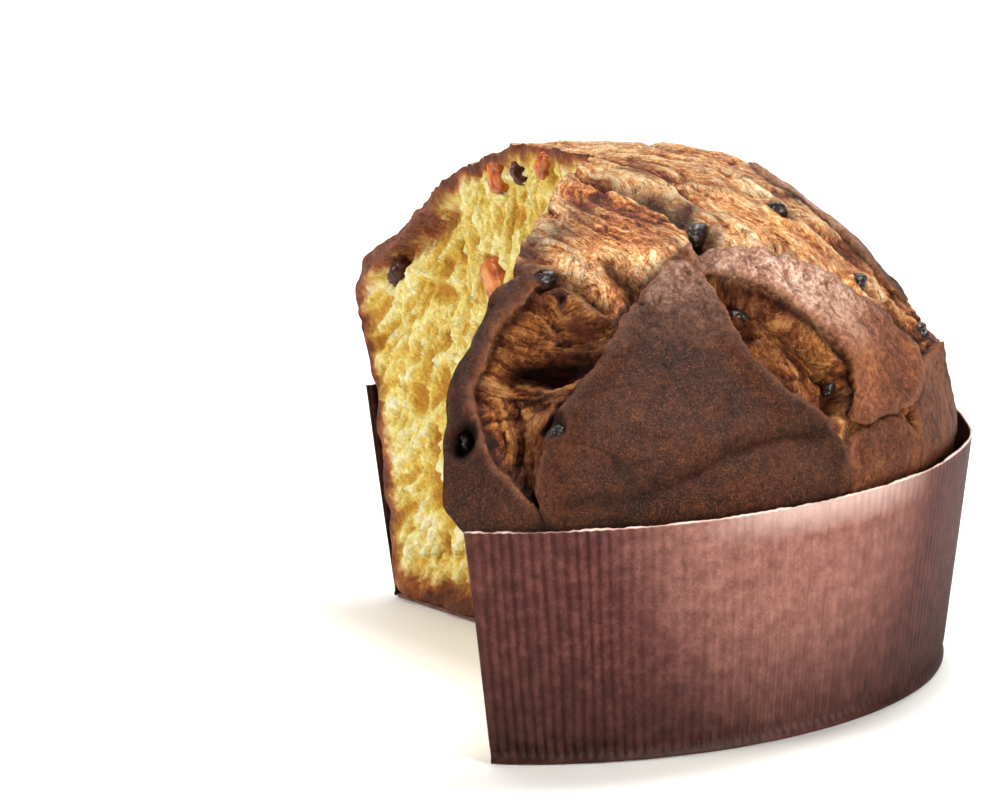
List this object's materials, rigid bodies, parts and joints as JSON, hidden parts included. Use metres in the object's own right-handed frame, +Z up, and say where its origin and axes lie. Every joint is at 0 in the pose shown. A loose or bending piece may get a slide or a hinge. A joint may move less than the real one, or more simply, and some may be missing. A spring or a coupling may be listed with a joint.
{
  "type": "panettone",
  "caption": "Domed fruit bread with torn golden dough and dark crust flaps in a low fluted paper mould, with a large slice taken out.",
  "frame": {"origin": "middle of the bounding box's footprint, at the underside of the paper mould", "axes": "+Z up, -Y towards the viewer of the picture, and the opening left by the slice faces -X"},
  "size_m": [0.168, 0.215, 0.1404],
  "materials": {
    "loaf": "matte bread crust and crumb",
    "case_wall": "matte fluted paper",
    "case_base": "matte card",
    "raisin": "glossy dried fruit",
    "peel": "glossy candied peel"
  },
  "bodies": {
    "root": {"loaf": "loaf", "case_wall": "case_wall", "case_base": "case_base", "raisin_01": "raisin", "raisin_02": "raisin", "raisin_03": "raisin", "raisin_04": "raisin", "raisin_05": "raisin", "raisin_06": "raisin", "raisin_07": "raisin", "raisin_08": "raisin", "raisin_09": "raisin", "raisin_10": "raisin", "raisin_11": "raisin", "raisin_12": "raisin", "raisin_13": "raisin", "raisin_14": "raisin", "raisin_15": "raisin", "raisin_16": "raisin", "raisin_17": "raisin", "raisin_18": "raisin", "raisin_19": "raisin", "raisin_20": "raisin", "raisin_21": "raisin", "raisin_22": "raisin", "peel_01": "peel", "peel_02": "peel", "peel_03": "peel", "peel_04": "peel", "peel_05": "peel", "peel_06": "peel"}
  },
  "joints": []
}
